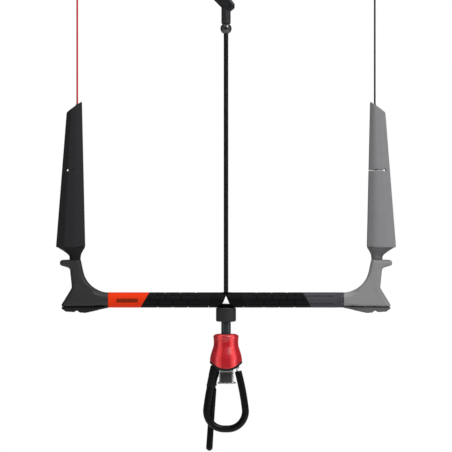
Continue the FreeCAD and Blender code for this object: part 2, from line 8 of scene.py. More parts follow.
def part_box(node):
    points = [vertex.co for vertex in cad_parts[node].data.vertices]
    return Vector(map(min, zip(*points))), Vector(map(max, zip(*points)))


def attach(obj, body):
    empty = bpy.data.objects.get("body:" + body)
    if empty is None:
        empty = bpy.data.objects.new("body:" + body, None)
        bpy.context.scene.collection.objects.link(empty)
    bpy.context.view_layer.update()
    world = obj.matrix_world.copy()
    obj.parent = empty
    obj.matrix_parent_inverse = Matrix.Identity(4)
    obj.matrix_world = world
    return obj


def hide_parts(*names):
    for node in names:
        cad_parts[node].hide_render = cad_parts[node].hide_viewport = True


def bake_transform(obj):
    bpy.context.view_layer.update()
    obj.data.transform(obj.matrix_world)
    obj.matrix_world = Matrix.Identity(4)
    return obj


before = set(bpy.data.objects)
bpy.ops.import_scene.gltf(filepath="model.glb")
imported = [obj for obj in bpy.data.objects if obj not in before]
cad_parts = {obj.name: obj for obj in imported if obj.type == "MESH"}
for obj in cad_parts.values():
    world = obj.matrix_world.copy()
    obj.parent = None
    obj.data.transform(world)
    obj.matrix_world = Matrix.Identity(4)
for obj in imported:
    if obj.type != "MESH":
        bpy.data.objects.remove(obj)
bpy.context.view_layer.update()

scene = bpy.context.scene

# ---------------------------------------------------------------- camera, light and floor
# The bar hangs from its front lines before a white wall, seen square on through a long
# lens. A soft box high on the right lights it, with a weaker one in front, a narrow one far
# out on each side and a long one overhead. The floor is a pale painted disc well below.
MM = 0.001
BAR_HEIGHT = (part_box("grip_outer_right")[0].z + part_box("grip_outer_right")[1].z) / 2


def spot(x, y, height):
    """A place in millimetres, with its height measured from the bar's axis."""
    return Vector((x * MM, y * MM, BAR_HEIGHT + height * MM))


def srgb(code):
    """An sRGB hex value as a linear colour."""
    channels = [int(code[i:i + 2], 16) / 255 for i in (0, 2, 4)]
    linear = [c / 12.92 if c <= 0.04045 else ((c + 0.055) / 1.055) ** 2.4 for c in channels]
    return (*linear, 1.0)


def add(tree, kind, inputs=None, **settings):
    """One node with its settings; an input is a value or the socket that feeds it."""
    made = tree.nodes.new(kind)
    for name, value in settings.items():
        setattr(made, name, value)
    for name, value in (inputs or {}).items():
        socket = made.inputs[name]
        if isinstance(value, bpy.types.NodeSocket):
            tree.links.new(value, socket)
        else:
            socket.default_value = value
    return made


VIEW_WIDTH = 0.714     # metres across the view at the bar
VIEW_HEIGHT = 116.8    # millimetres from the bar's axis up to the middle of the view
LENS = 170.0
SENSOR = 36.0
camera_data = bpy.data.cameras.new("camera")
camera_data.lens = LENS
camera_data.sensor_width = SENSOR
camera = bpy.data.objects.new("camera", camera_data)
camera.location = spot(0, 0, VIEW_HEIGHT) - Vector((0, VIEW_WIDTH * LENS / SENSOR, 0))
camera.rotation_euler = (math.radians(90), 0, 0)
scene.collection.objects.link(camera)
scene.camera = camera
scene.view_settings.view_transform = "Standard"

WALL_GLOW = 1.0
ROOM_FILL = 0.12       # what the room gives back to the object, next to the white wall
world = bpy.data.worlds.new("studio")
scene.world = world
world.use_nodes = True
world_tree = world.node_tree
world_tree.nodes.clear()
seen = add(world_tree, "ShaderNodeLightPath")
wall = add(world_tree, "ShaderNodeBackground", {"Color": srgb("ffffff"), "Strength": WALL_GLOW})
fill = add(world_tree, "ShaderNodeBackground", {"Color": srgb("ffffff"), "Strength": ROOM_FILL})
mixed = add(world_tree, "ShaderNodeMixShader",
            {0: seen.outputs["Is Camera Ray"], 1: fill.outputs[0], 2: wall.outputs[0]})
add(world_tree, "ShaderNodeOutputWorld", {"Surface": mixed.outputs[0]})


def soft_box(name, place, aim, size, power):
    """A rectangular lamp of this size in metres and power in watts, turned to its aim."""
    light = bpy.data.lights.new(name, "AREA")
    light.shape = "RECTANGLE"
    light.size = size[0]
    light.size_y = size[1]
    light.energy = power
    made = bpy.data.objects.new(name, light)
    made.location = place
    made.rotation_euler = (aim - place).to_track_quat("-Z", "Y").to_euler()
    scene.collection.objects.link(made)
    return made


middle = spot(0, 0, 120)
soft_box("key", middle + Vector((0.85, -1.35, 1.55)), middle, (0.8, 0.9), 46)
fill_light = soft_box("front", middle + Vector((0.0, -1.9, 1.0)), middle, (0.6, 0.8), 9)
fill_light.visible_glossy = False
soft_box("strip_right", middle + Vector((2.1, -0.8, 0.1)), middle, (0.15, 1.4), 6)
soft_box("strip_left", middle + Vector((-2.1, -0.8, 0.1)), middle, (0.15, 1.4), 3)
soft_box("top", middle + Vector((0.0, 0.1, 1.9)), middle, (1.8, 0.5), 22)

FLOOR_RADIUS = 1.5
FLOOR_HEIGHT = -470
floor_mesh = bpy.data.meshes.new("floor")
build = bmesh.new()
bmesh.ops.create_circle(build, cap_ends=True, segments=96, radius=FLOOR_RADIUS,
                        matrix=Matrix.Translation(spot(0, 0, FLOOR_HEIGHT)))
build.to_mesh(floor_mesh)
build.free()
floor = bpy.data.objects.new("floor", floor_mesh)
scene.collection.objects.link(floor)
# Matt white paint that glows a little, so that the floor is as pale as the wall
floor_paint = bpy.data.materials.new("floor_paint")
floor_paint.use_nodes = True
floor_shader = floor_paint.node_tree.nodes["Principled BSDF"]
floor_shader.inputs["Base Color"].default_value = srgb("f4f4f2")
floor_shader.inputs["Roughness"].default_value = 0.8
floor_shader.inputs["Emission Color"].default_value = srgb("ffffff")
floor_shader.inputs["Emission Strength"].default_value = 0.3
floor_mesh.materials.append(floor_paint)

# ---------------------------------------------------------------- steering leaders
# Each leader is a 2.8 mm braided polyethylene line that leaves the top of its float and
# runs up, pulled tight, to a stopper knot. The left one is red, the right one dark grey.
LEADER_X = 235.0
LEADER_EXIT = 309.0
LEADER_TOP = 494.0
LEADER_DIAMETER = 2.8
LEADER_STRAIGHT = 14.0     # straight run at each end of the line
KNOT_HEIGHT = 2.9          # the knot's middle above the end of the line
KNOT_WIDTH = 0.62
KNOT_DEPTH = 1.6
KNOT_STEPS = 60
STRAND_LEAN = 35           # degrees that a braid's strands lean
WAVE_BANDS = 3.1           # about how many bands a wave texture draws in one unit at scale 1


def start_material(name, colour, roughness, metallic=0.0, **shader_values):
    """A principled material; returns it with its tree, shader and object coordinates."""
    material = bpy.data.materials.new(name)
    material.use_nodes = True
    tree = material.node_tree
    shader = tree.nodes["Principled BSDF"]
    shader.inputs["Base Color"].default_value = srgb(colour)
    shader.inputs["Roughness"].default_value = roughness
    shader.inputs["Metallic"].default_value = metallic
    for key, value in shader_values.items():
        shader.inputs[key.replace("_", " ")].default_value = value
    coords = add(tree, "ShaderNodeTexCoord").outputs["Object"]
    return material, tree, shader, coords


def mottle(tree, shader, coords, light, dark, patch_mm, rough_low, rough_high):
    """Soft patches of two close colours, and of duller and glossier surface."""
    cloud = add(tree, "ShaderNodeTexNoise", {"Vector": coords, "Scale": 1 / (patch_mm * MM), "Detail": 4.0})
    tone = add(tree, "ShaderNodeMix", {0: cloud.outputs[0]}, data_type="RGBA")
    tone.inputs[6].default_value = srgb(dark)
    tone.inputs[7].default_value = srgb(light)
    tree.links.new(tone.outputs[2], shader.inputs["Base Color"])
    rough = add(tree, "ShaderNodeMapRange", {
        "Value": cloud.outputs[0], "From Min": 0.3, "From Max": 0.7,
        "To Min": rough_low, "To Max": rough_high})
    tree.links.new(rough.outputs[0], shader.inputs["Roughness"])
    return tone


def grain(tree, shader, height, depth_mm, strength):
    """Bump from a height socket, laid over whatever bump the shader already has."""
    before = shader.inputs["Normal"].links
    bump = add(tree, "ShaderNodeBump", {"Height": height, "Distance": depth_mm * MM, "Strength": strength})
    if before:
        tree.links.new(before[0].from_socket, bump.inputs["Normal"])
    tree.links.new(bump.outputs[0], shader.inputs["Normal"])


def cross_weave(tree, coords, pitch_mm):
    """Two sets of slanted strands that cross, as in a braided line."""
    strands = []
    for turn in (1, -1):
        lean = (0, math.radians(STRAND_LEAN * turn), 0)
        turned = add(tree, "ShaderNodeMapping", {"Vector": coords, "Rotation": lean})
        wave = add(tree, "ShaderNodeTexWave",
                   {"Vector": turned.outputs[0], "Scale": 1 / (pitch_mm * MM) / WAVE_BANDS},
                   wave_type="BANDS", bands_direction="Z")
        strands.append(wave.outputs[1])
    return add(tree, "ShaderNodeMath", {0: strands[0], 1: strands[1]}, operation="MAXIMUM").outputs[0]


def braided_line(name, light, dark):
    """Braided polyethylene: matt, with crossing strands drawn 0.9 mm apart so that they show."""
    material, tree, shader, coords = start_material(name, light, 0.6, Specular_IOR_Level=0.2)
    mottle(tree, shader, coords, light, dark, 1.2, 0.5, 0.7)
    grain(tree, shader, cross_weave(tree, coords, 0.9), 0.06, 0.7)
    return material


def tube_mesh(name, points, radius, sides, closed=False):
    """A mesh tube along points; the radius is a length, or gives one for a share of the way."""
    rings = []
    count = len(points)
    normal = None
    for i in range(count):
        ahead = points[(i + 1) % count] if closed or i + 1 < count else points[i]
        behind = points[i - 1] if closed or i > 0 else points[i]
        heading = (ahead - behind).normalized()
        if normal is None:
            normal = heading.orthogonal().normalized()
        normal = (normal - heading * normal.dot(heading)).normalized()
        side = heading.cross(normal)
        thick = radius(i / (count - 1)) if callable(radius) else radius
        rings.append([points[i] + (normal * math.cos(a) + side * math.sin(a)) * thick
                      for a in (2 * math.pi * k / sides for k in range(sides))])
    return loft(name, rings, closed_along=closed)


def loft(name, rings, closed_along=False):
    """A skin over rings of equal length, with flat ends unless its last ring meets its first."""
    mesh = bpy.data.meshes.new(name)
    build = bmesh.new()
    rows = [[build.verts.new(p) for p in ring] for ring in rings]
    sides = len(rows[0])
    spans = len(rows) if closed_along else len(rows) - 1
    for i in range(spans):
        low, high = rows[i], rows[(i + 1) % len(rows)]
        for k in range(sides):
            n = (k + 1) % sides
            build.faces.new((low[k], low[n], high[n], high[k]))
    if not closed_along:
        build.faces.new(rows[0][::-1])
        build.faces.new(rows[-1])
    bmesh.ops.recalc_face_normals(build, faces=build.faces)
    for face in build.faces:
        face.smooth = len(face.verts) == 4
    build.to_mesh(mesh)
    build.free()
    piece = bpy.data.objects.new(name, mesh)
    scene.collection.objects.link(piece)
    return piece


def smoothstep(low, high, value):
    """0 up to low, 1 from high on, and a smooth rise between them."""
    share = min(1.0, max(0.0, (value - low) / (high - low)))
    return share * share * (3 - 2 * share)


red_line = braided_line("braided_line_red", "c4161f", "96101a")
grey_line = braided_line("braided_line_grey", "1c1c1e", "121214")
for side, word, paint in ((-1, "left", red_line), (1, "right", grey_line)):
    body = "float_" + word
    slot = "leader_red" if side < 0 else "leader_grey"
    curve = bpy.data.curves.new("leader_line_" + word, "CURVE")
    curve.dimensions = "3D"
    curve.bevel_depth = LEADER_DIAMETER / 2 * MM
    curve.bevel_resolution = 4
    spline = curve.splines.new("NURBS")
    heights = (LEADER_EXIT, LEADER_EXIT + LEADER_STRAIGHT, LEADER_TOP - LEADER_STRAIGHT, LEADER_TOP)
    spline.points.add(len(heights) - 1)
    for point, height in zip(spline.points, heights):
        point.co = (*spot(side * LEADER_X, 0, height), 1)
    spline.order_u = 3
    spline.use_endpoint_u = True
    line = bpy.data.objects.new("leader_line_" + word, curve)
    scene.collection.objects.link(line)
    curve.materials.append(paint)
    # The stopper knot: a trefoil pulled tight on the end of the line
    knot_path = []
    for i in range(KNOT_STEPS):
        turn = 2 * math.pi * i / KNOT_STEPS
        knot_path.append(spot(side * LEADER_X, 0, LEADER_TOP + KNOT_HEIGHT) + Vector((
            (math.sin(turn) + 2 * math.sin(2 * turn)) * KNOT_WIDTH,
            (math.cos(turn) - 2 * math.cos(2 * turn)) * KNOT_WIDTH,
            -math.sin(3 * turn) * KNOT_DEPTH)) * MM)
    knot = tube_mesh("stopper_knot_" + word, knot_path, 1.0 * MM, 12, closed=True)
    knot.data.materials.append(paint)
    for piece in (line, knot):
        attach(piece, body)
    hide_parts("leader_" + word)
    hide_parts("leader_knot_" + word)

# ---------------------------------------------------------------- floats
# Each float is a long wedge of closed-cell foam, cut slanting at the top and slit from a
# small eyelet to its inner edge so that a line can be tucked in. Left black, right grey.
FLOAT_BOTTOM = 83.0
FLOAT_TOP = 316.0
FLOAT_INNER = 222.4        # the inner edge at the bottom
FLOAT_WIDTH = 45.9         # across the bottom
FLOAT_LEAN = (5.2, -18.3)  # how far the inner and the outer edge move outwards up to the top
FLOAT_DEPTH = (16.0, 11.0)  # half the depth at the bottom and at the top
CUT_START = (227.5, 313.5)
CUT_SLOPE = 17.5 / 24.0    # the slanted top falls this much for each step outwards
EYELET = (250.0, 204.8)
EYELET_RADIUS = 2.0
SLIT_LENGTH = 35.0
SLIT_HALF = {"left": 0.12, "right": 0.5}  # the left slit is all but closed
ARC_STEPS = 6


def foam(name, light, dark):
    """Closed-cell foam: dull, with the fine pores of its moulded skin."""
    material, tree, shader, coords = start_material(name, light, 0.8, Specular_IOR_Level=0.15)
    mottle(tree, shader, coords, light, dark, 14, 0.74, 0.9)
    pores = add(tree, "ShaderNodeTexVoronoi", {"Vector": coords, "Scale": 1 / (1.0 * MM)}, feature="F1")
    grain(tree, shader, pores.outputs["Distance"], 0.12, 0.5)
    skin = add(tree, "ShaderNodeTexNoise", {"Vector": coords, "Scale": 1 / (6 * MM), "Detail": 3.0})
    grain(tree, shader, skin.outputs[0], 0.35, 0.4)
    return material


def rounded(corners):
    """An outline through corners (x, z) or (x, z, radius), each radius as an arc."""
    outline = []
    count = len(corners)
    for i, corner in enumerate(corners):
        here = Vector(corner[:2])
        before = Vector(corners[i - 1][:2])
        after = Vector(corners[(i + 1) % count][:2])
        radius = corner[2] if len(corner) > 2 else 0.3
        back = (before - here).normalized()
        ahead = (after - here).normalized()
        half = back.angle(ahead) / 2
        reach = min(radius / math.tan(half), 0.9 * (before - here).length, 0.9 * (after - here).length)
        radius = reach * math.tan(half)
        centre = here + (back + ahead).normalized() * (radius / math.sin(half))
        first = here + back * reach - centre
        sweep = first.angle_signed(here + ahead * reach - centre)
        for k in range(ARC_STEPS + 1):
            turn = -sweep * k / ARC_STEPS
            outline.append(centre + Vector((first.x * math.cos(turn) - first.y * math.sin(turn),
                                            first.x * math.sin(turn) + first.y * math.cos(turn))))
    return outline


def evened(outline, spacing):
    """The same outline with points added, so that none are further apart than the spacing."""
    points = []
    for i, here in enumerate(outline):
        after = outline[(i + 1) % len(outline)]
        pieces = max(1, math.ceil((after - here).length / spacing))
        points += [here.lerp(after, k / pieces) for k in range(pieces)]
    return [p for i, p in enumerate(points) if (p - points[i - 1]).length > 0.02]


float_section = evened(rounded([
    (-1, -0.3, 0.5), (-0.45, -1, 0.7), (0.4, -1, 0.3), (1, -0.42, 0.3),
    (1, 0.42, 0.3), (0.4, 1, 0.3), (-0.45, 1, 0.7), (-1, 0.3, 0.5)]), 0.08)


def float_point(across, depth, rise):
    """A point of the float's skin; across and depth run from -1 to 1, rise from 0 to 1."""
    share = 0.5 + 0.5 * across
    low_x = FLOAT_INNER + share * FLOAT_WIDTH
    slope = (FLOAT_LEAN[0] + share * (FLOAT_LEAN[1] - FLOAT_LEAN[0])) / (FLOAT_TOP - FLOAT_BOTTOM)
    # Where this line of the skin meets the slanted cut
    cut_x, cut_z = CUT_START
    top = (cut_z + CUT_SLOPE * (cut_x - low_x + slope * FLOAT_BOTTOM)) / (1 + CUT_SLOPE * slope)
    z = FLOAT_BOTTOM + rise * (top - FLOAT_BOTTOM)
    x = low_x + slope * (z - FLOAT_BOTTOM)
    climb = (z - FLOAT_BOTTOM) / (FLOAT_TOP - FLOAT_BOTTOM)
    y = depth * (FLOAT_DEPTH[0] + (FLOAT_DEPTH[1] - FLOAT_DEPTH[0]) * climb)
    return x, y, z


def float_skin(side, name):
    """The float's skin, with rings close together where its two ends turn over."""
    rises = [0.0, 0.0, 0.004, 0.009, 0.014] + [i / 48 for i in range(1, 48)] + [0.985, 0.992, 0.997, 1.0, 1.0]
    tucks = [0.84, 0.95, 0.985, 0.997] + [1.0] * (len(rises) - 8) + [0.995, 0.98, 0.94, 0.86]
    rings = []
    for rise, tuck in zip(rises, tucks):
        ring = []
        centre, _, middle_z = float_point(0, 0, rise)
        for across, depth in float_section:
            x, y, z = float_point(across, depth, rise)
            x = centre + (x - centre) * tuck
            z = middle_z + (z - middle_z) * tuck
            ring.append(spot(side * x, y * tuck, z))
        rings.append(ring)
    return loft(name, rings)


def cut_with(piece, cutters):
    """Take the cutters out of the piece and leave a plain mesh."""
    for cutter in cutters:
        modifier = piece.modifiers.new("cut", "BOOLEAN")
        modifier.operation = "DIFFERENCE"
        modifier.solver = "EXACT"
        modifier.object = cutter
    settle(piece)
    for cutter in cutters:
        bpy.data.objects.remove(cutter)


def settle(piece):
    """Turn the piece with its modifiers into a plain mesh."""
    bpy.context.view_layer.update()
    graph = bpy.context.evaluated_depsgraph_get()
    mesh = bpy.data.meshes.new_from_object(piece.evaluated_get(graph))
    piece.modifiers.clear()
    piece.data = mesh


def rod_along_y(name, x, z, radius, half):
    turns = [2 * math.pi * k / 24 for k in range(24)]
    return loft(name, [[spot(x + radius * math.cos(turn), y, z + radius * math.sin(turn)) for turn in turns]
                       for y in (-half, half)])


def brick(name, low, high):
    x0, y0, z0 = low
    x1, y1, z1 = high
    corners = ((x0, y0), (x1, y0), (x1, y1), (x0, y1))
    return loft(name, [[spot(x, y, z) for x, y in corners] for z in (z0, z1)])


foam_black = foam("foam_black", "262628", "1f1f21")
foam_grey = foam("foam_grey", "79797b", "6f6f71")
for side, word, paint in ((-1, "left", foam_black), (1, "right", foam_grey)):
    piece = float_skin(side, "float_foam_" + word)
    x, z = EYELET
    slit = SLIT_HALF[word]
    slit_ends = sorted((side * x, side * (x - SLIT_LENGTH)))
    cut_with(piece, [
        rod_along_y("eyelet_cutter", side * x, z, EYELET_RADIUS, 20),
        brick("slit_cutter", (slit_ends[0], -20, z - slit), (slit_ends[1], 20, z + slit)),
    ])
    piece.data.materials.clear()
    piece.data.materials.append(paint)
    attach(piece, "float_" + word)
    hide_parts("float_" + word)

# ---------------------------------------------------------------- bar ends
# Each end is one hard nylon moulding: a column with a hook at its top for winding the
# lines, spread out below and drawn in to the round grip. Left black, right grey.
END_DEPTH = 12.0       # half the depth of the moulding
GRIP_RADIUS = 12.1
GRIP_END = 186.0
BOOT_BALL = (238.4, 66.6)
SEAT_RADIUS = 9.3      # the hollow that the float boot's ball sits in


def moulded_nylon(name, light, dark, rough=0.5, shine=0.22):
    """Glass-filled nylon with a fine spark-eroded skin."""
    material, tree, shader, coords = start_material(name, light, rough, Specular_IOR_Level=shine)
    mottle(tree, shader, coords, light, dark, 30, rough - 0.05, rough + 0.08)
    fine = add(tree, "ShaderNodeTexNoise", {"Vector": coords, "Scale": 1 / (0.5 * MM), "Detail": 2.0})
    grain(tree, shader, fine.outputs[0], 0.05, 0.5)
    return material


def nearest_on(spine, place):
    """The point of the spine, a list of (start, end) pairs, that is nearest to a place."""
    best = None
    for start, end in spine:
        run = Vector(end) - Vector(start)
        share = min(1.0, max(0.0, (place - Vector(start)).dot(run) / run.length_squared))
        found = Vector(start) + run * share
        if best is None or (found - place).length < (best - place).length:
            best = found
    return best


def pillow(outline, half_depth, spine, inset, roundness, waist=0.97):
    """A moulding with this front outline whose faces swell towards the spine."""
    pulls = []
    for place in outline:
        pull = nearest_on(spine, place) - place
        pulls.append(pull.normalized() * min(inset, waist * pull.length))
    shares = (0.0, 0.03, 0.09, 0.18, 0.3, 0.45, 0.62, 0.8, 1.0)
    levels = [(share, (1 - (1 - share) ** roundness) ** (1 / roundness)) for share in shares]
    rings = []
    for face in (-1, 1):
        order = levels[::-1] if face < 0 else levels
        for share, height in order:
            depth = face * half_depth * max(height, 0.02)
            ring = []
            for place, pull in zip(outline, pulls):
                moved = place + pull * share
                ring.append(Vector((moved.x, depth, moved.y)))
            rings.append(ring)
    return rings


def soften(piece, voxel_mm, passes):
    """Run the facets of a moulding into each other, as a polished mould does."""
    remesh = piece.modifiers.new("remesh", "REMESH")
    remesh.mode = "VOXEL"
    remesh.voxel_size = voxel_mm * MM
    remesh.use_smooth_shade = True
    smooth = piece.modifiers.new("smooth", "SMOOTH")
    smooth.factor = 0.5
    smooth.iterations = passes
    settle(piece)


def place_rings(rings, side):
    """Rings in millimetres put in their place on the left or the right."""
    return [[spot(side * p.x, p.y, p.z) for p in ring] for ring in rings]


end_corners = [
    (229.6, 64.7, 1.2), (262.9, 63.2, 4.2), (261.8, 54.6, 1.8), (246.7, 50.2, 4), (243.5, 19.2, 5),
    (260.4, -8.2, 3), (258.9, -11), (180, -11), (180, 12.0), (186, 12.1), (219.4, 16.8, 40)]
end_spine = [((184, 0.5), (216, 0)), ((216, 0), (238, 4)), ((238, 4), (237.5, 58)), ((237.5, 58), (258, 59)),
             ((238, 4), (252, -7))]
end_outline = evened(rounded(end_corners), 1.6)
end_black = moulded_nylon("moulded_nylon_black", "2c2c2d", "272728")
end_grey = moulded_nylon("moulded_nylon_grey", "7b7b7c", "747475")
for side, word, paint in ((-1, "left", end_black), (1, "right", end_grey)):
    rings = pillow(end_outline, END_DEPTH, end_spine, 6.5, 2.6)
    for ring in rings:
        for p in ring:
            # Drawn in to a round section where the grip begins
            drawn = 1 - smoothstep(190, 216, p.x)
            p.y *= 1 + drawn * (math.sqrt(max(0.0, 1 - (p.z / GRIP_RADIUS) ** 2)) - 1)
            # The column is a little slimmer than the foot and the hook
            p.y *= 1 - 0.12 * smoothstep(14, 34, p.z) * (1 - smoothstep(44, 58, p.z))
    piece = loft("bar_end_moulding_" + word, place_rings(rings, side))
    soften(piece, 1.1, 12)
    seat = bpy.data.meshes.new("seat_cutter")
    build = bmesh.new()
    bmesh.ops.create_icosphere(build, subdivisions=4, radius=SEAT_RADIUS * MM)
    bmesh.ops.translate(build, vec=spot(side * BOOT_BALL[0], 0, BOOT_BALL[1]), verts=build.verts)
    build.to_mesh(seat)
    build.free()
    cutter = bpy.data.objects.new("seat_cutter", seat)
    scene.collection.objects.link(cutter)
    cut_with(piece, [cutter])
    piece.data.materials.clear()
    piece.data.materials.append(paint)
    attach(piece, "bar")
    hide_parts("bar_end_" + word)

# ---------------------------------------------------------------- foot pads
# A soft rubber bumper is moulded under each bar end, with a finger notch in its lower edge
# and fine tread bars across its sole. Left black, right dark grey.
PAD_DEPTH = 11.0
TREAD_SIZES = {"Pitch": 4.2, "Bar Width": 1.5, "Bar Length": 17.0, "Bar Height": 1.1}


def rubber(name, light, dark, rough=0.78):
    """Moulded rubber: matt, with a dusty bloom and a fine pebble."""
    material, tree, shader, coords = start_material(name, light, rough, Specular_IOR_Level=0.12)
    mottle(tree, shader, coords, light, dark, 9, rough - 0.08, rough + 0.1)
    pebble = add(tree, "ShaderNodeTexNoise", {"Vector": coords, "Scale": 1 / (0.9 * MM), "Detail": 3.0})
    grain(tree, shader, pebble.outputs[0], 0.12, 0.6)
    return material


def tread_nodes():
    """Bars of one size, evenly spaced along a line of edges."""
    group = bpy.data.node_groups.new("tread_bars", "GeometryNodeTree")
    face = group.interface
    face.new_socket("Geometry", in_out="INPUT", socket_type="NodeSocketGeometry")
    for name in TREAD_SIZES:
        face.new_socket(name, in_out="INPUT", socket_type="NodeSocketFloat")
    face.new_socket("Rubber", in_out="INPUT", socket_type="NodeSocketMaterial")
    face.new_socket("Geometry", in_out="OUTPUT", socket_type="NodeSocketGeometry")
    given = add(group, "NodeGroupInput").outputs
    line = add(group, "GeometryNodeMeshToCurve", {"Mesh": given["Geometry"]})
    even = add(group, "GeometryNodeResampleCurve",
               {"Curve": line.outputs[0], "Length": given["Pitch"]}, mode="LENGTH")
    size = add(group, "ShaderNodeCombineXYZ",
               {"X": given["Bar Width"], "Y": given["Bar Length"], "Z": given["Bar Height"]})
    bar = add(group, "GeometryNodeMeshCube", {"Size": size.outputs[0]})
    along = add(group, "GeometryNodeInputTangent")
    turn = add(group, "FunctionNodeAlignRotationToVector",
               {"Vector": along.outputs[0]}, axis="X", pivot_axis="Y")
    row = add(group, "GeometryNodeInstanceOnPoints",
              {"Points": even.outputs[0], "Instance": bar.outputs[0], "Rotation": turn.outputs[0]})
    real = add(group, "GeometryNodeRealizeInstances", {"Geometry": row.outputs[0]})
    dressed = add(group, "GeometryNodeSetMaterial",
                  {"Geometry": real.outputs[0], "Material": given["Rubber"]})
    add(group, "NodeGroupOutput", {"Geometry": dressed.outputs[0]})
    return group


pad_corners = [(258.9, -11), (260, -13.2, 1.5), (253, -18.4, 3), (240, -19.2, 2), (235, -16.6, 2),
               (231, -19.6, 2), (222, -20.4, 6), (199, -15.2, 20), (186, -12.4), (186, -11)]
sole_points = [(204, -16.1), (213, -18.1), (222, -20.0), (229, -19.4)]
pad_spine = [((192, -12), (222, -14.5)), ((222, -14.5), (253, -14))]
pad_outline = evened(rounded(pad_corners), 1.5)
pad_black = rubber("moulded_rubber_black", "202022", "171719")
pad_grey = rubber("moulded_rubber_grey", "58585a", "4a4a4c")
tread = tread_nodes()
for side, word, paint in ((-1, "left", pad_black), (1, "right", pad_grey)):
    rings = pillow(pad_outline, PAD_DEPTH, pad_spine, 1.8, 2.4, 0.8)
    for ring in rings:
        for p in ring:
            # Narrower where the pad runs out under the grip
            p.y *= 1 - 0.35 * (1 - smoothstep(186, 205, p.x))
    piece = loft("foot_pad_rubber_" + word, place_rings(rings, side))
    piece.data.materials.append(paint)
    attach(piece, "bar")
    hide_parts("foot_pad_" + word)
    sole = bpy.data.meshes.new("sole_line")
    edges = [(i, i + 1) for i in range(len(sole_points) - 1)]
    sole.from_pydata([spot(side * x, 0, z) for x, z in sole_points], edges, [])
    bars = bpy.data.objects.new("tread_bars_" + word, sole)
    scene.collection.objects.link(bars)
    modifier = bars.modifiers.new("tread", "NODES")
    modifier.node_group = tread
    for socket in tread.interface.items_tree:
        if socket.name in TREAD_SIZES:
            modifier[socket.identifier] = TREAD_SIZES[socket.name] * MM
        elif socket.name == "Rubber":
            modifier[socket.identifier] = paint
    settle(bars)
    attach(bars, "bar")

# ---------------------------------------------------------------- float boots
# A rubber boot grows out of the ball seat in each bar end, is narrow where it bends and
# flares to hold the bottom of the float.
BOOT_ROWS = 45
BOOT_SIDES = 56
BOOT_SQUARENESS = 0.85     # 1 would be a plain oval
boot_stations = [  # height, inner and outer edge, half depth
    (59.0, 234.0, 242.8, 4.4), (61.2, 231.0, 245.8, 7.2), (64.0, 229.8, 247.0, 8.7),
    (67.0, 229.5, 247.3, 9.0), (69.4, 229.3, 247.6, 9.0), (72.4, 228.6, 250.2, 10.0),
    (75.8, 226.9, 254.7, 11.6), (79.4, 224.9, 260.0, 13.6), (82.4, 223.0, 264.9, 15.2),
    (83.0, 223.3, 264.6, 15.0)]


def station_at(stations, share):
    """A smooth pass through the stations, Catmull-Rom between each two."""
    place = share * (len(stations) - 1)
    i = min(int(place), len(stations) - 2)
    t = place - i
    p = [stations[min(max(i + k, 0), len(stations) - 1)] for k in (-1, 0, 1, 2)]
    return [0.5 * (2 * b + (c - a) * t + (2 * a - 5 * b + 4 * c - d) * t * t
                   + (3 * b - a - 3 * c + d) * t ** 3) for a, b, c, d in zip(*p)]


boot_black = rubber("boot_rubber_black", "161617", "101011", 0.6)
boot_grey = rubber("boot_rubber_grey", "5c5c5e", "4c4c4e", 0.7)
for side, word, paint in ((-1, "left", boot_black), (1, "right", boot_grey)):
    rings = []
    for i in range(BOOT_ROWS + 1):
        height, inner, outer, depth = station_at(boot_stations, i / BOOT_ROWS)
        across = (outer - inner) / 2
        ring = []
        for k in range(BOOT_SIDES):
            a = 2 * math.pi * k / BOOT_SIDES
            u = math.copysign(abs(math.cos(a)) ** BOOT_SQUARENESS, math.cos(a))
            v = math.copysign(abs(math.sin(a)) ** BOOT_SQUARENESS, math.sin(a))
            ring.append(spot(side * ((inner + outer) / 2 + across * u), depth * v, height))
        rings.append(ring)
    piece = loft("boot_rubber_" + word, rings)
    piece.data.materials.append(paint)
    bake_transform(piece)
    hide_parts("float_boot_" + word)

# ---------------------------------------------------------------- grips
# Moulded EVA sleeves over the bar's core. The inner pair is black with broken ribs all
# round; the outer pair is smoother, orange on the left and lilac-grey on the right.
SPLIT = 128.0          # where the inner grip meets the outer one
SPLIT_LEAN = 7.0
HUB_SPLIT = 25.05      # where the inner grip starts
HUB_LEAN = 3.0
RIB_ROWS = 10
RIB_LENGTH = 24.0
RELIEF = 0.45          # depth of the deepest groove
GRIP_SIDES = 180


def seam_x(height):
    """The slanted seam between the two grips."""
    return SPLIT - SPLIT_LEAN * height / GRIP_RADIUS


def hub_x(height):
    """The slanted end of the inner grip against the hub."""
    return HUB_SPLIT - HUB_LEAN * height / GRIP_RADIUS


def rib_relief(x, angle):
    """How deep the surface lies below the ribs' tops, from 0 to 1."""
    row = angle / (2 * math.pi) * RIB_ROWS
    across = abs(row - round(row))
    groove = 1 - smoothstep(0.05, 0.13, across)
    along = (x + 12 * (math.floor(row) % 2)) / RIB_LENGTH
    gap = abs(along - round(along)) * RIB_LENGTH
    ends = 1 - smoothstep(0.9, 1.9, gap)
    before_seam = x - (seam_x(math.sin(angle) * GRIP_RADIUS) - 6)
    plain = 1 - smoothstep(38, 41, x) + smoothstep(0.0, 3.0, before_seam)
    return max(groove, ends) * max(0.0, 1 - plain)


def outer_relief(x, angle):
    """Two long grooves and short notches on each face, and three fine rings by the bar end."""
    depth = 0.0
    for line in (32.5, -30.0, 147.5, 210.0):
        away = abs((math.degrees(angle) - line + 180) % 360 - 180)
        depth = max(depth, (1 - smoothstep(1.6, 4.2, away)) * smoothstep(0, 4, 173 - x))
    for notch in (143.0, 164.0):
        if 26 < math.degrees(angle) % 180 < 40:
            depth = max(depth, 1 - smoothstep(0.6, 1.4, abs(x - notch)))
    for ring in (176.0, 180.0, 184.0):
        depth = max(depth, 0.7 * (1 - smoothstep(0.3, 0.9, abs(x - ring))))
    return depth


